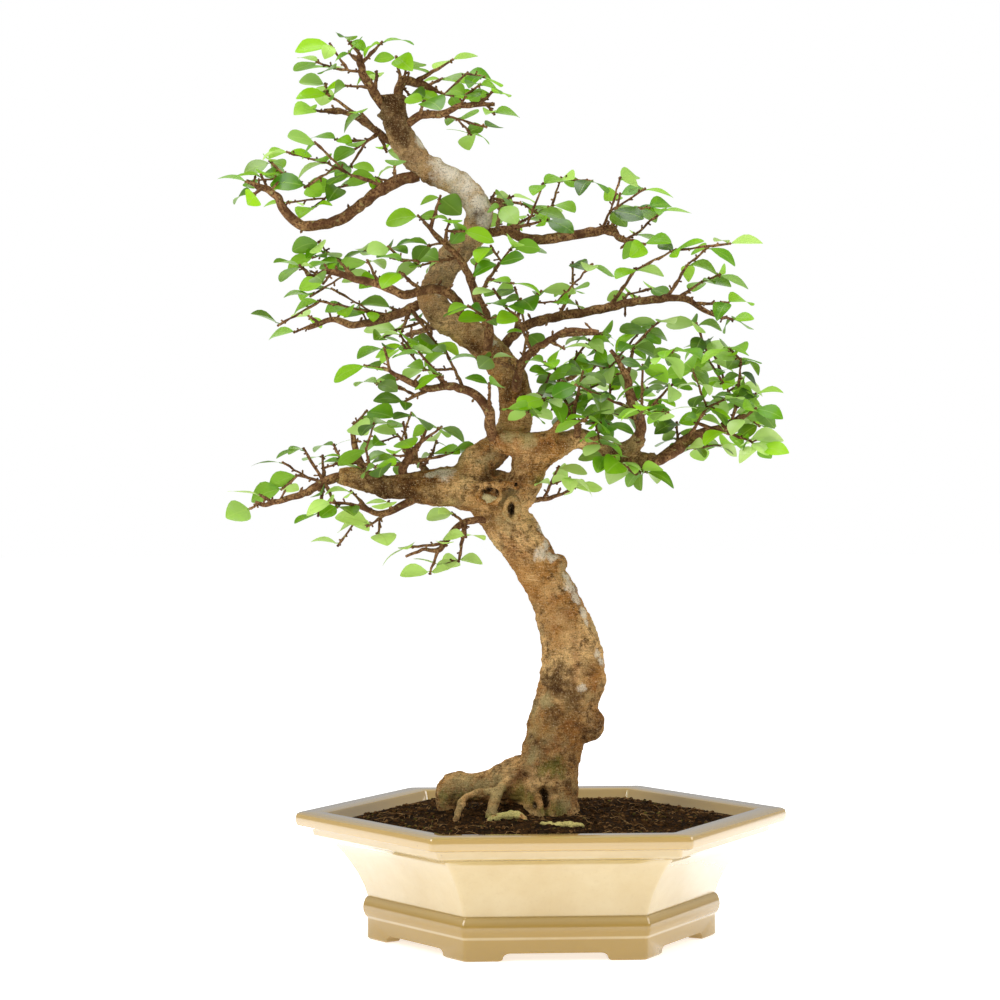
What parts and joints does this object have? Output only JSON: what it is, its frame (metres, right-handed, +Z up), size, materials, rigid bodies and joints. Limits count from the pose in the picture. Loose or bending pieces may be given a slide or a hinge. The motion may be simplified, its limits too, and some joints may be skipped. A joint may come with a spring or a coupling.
{
  "type": "potted acerola bonsai tree",
  "caption": "Acerola bonsai with a curved trunk, layered leafy sprays and surface roots, standing in soil in a low hexagonal glazed pot with feet.",
  "frame": {"origin": "middle of the footprint of the plant and its pot, on the surface that the feet stand on", "axes": "+Z up, +X to the right along the pot's line from corner to corner, +Y to the back, with a flat side of the pot to the front"},
  "size_m": [0.4672, 0.3464, 0.7343],
  "materials": {
    "glaze": "glossy cream glaze, darker tan on the rim, belt and feet",
    "soil": "dark crumbly potting soil with fibres and bits of moss",
    "bark": "tan-brown bark with fine cross lines, pale patches and pruning scars",
    "foliage": "reddish brown twigs with slightly glossy leaves from bright to dark green"
  },
  "bodies": {
    "root": {"pot": "glaze", "soil": "soil", "trunk": "bark", "spray_crown_left": "foliage", "spray_crown_right": "foliage", "spray_upper_right": "foliage", "spray_upper_left": "foliage", "spray_left_upper": "foliage", "spray_left_middle": "foliage", "spray_left_lower": "foliage", "spray_middle_left": "foliage", "spray_center": "foliage", "spray_right_upper": "foliage", "spray_right_middle": "foliage", "spray_center_front": "foliage", "spray_pad_inner": "foliage", "spray_pad_outer": "foliage", "spray_pad_near": "foliage", "spray_pad_under": "foliage", "spray_low_tip": "foliage", "spray_low_left": "foliage", "spray_low_middle": "foliage", "spray_low_under": "foliage", "spray_hanging": "foliage", "spray_fork_right": "foliage", "spray_back_crown": "foliage", "spray_back_left": "foliage", "spray_back_right": "foliage", "spray_back_low": "foliage"}
  },
  "joints": []
}
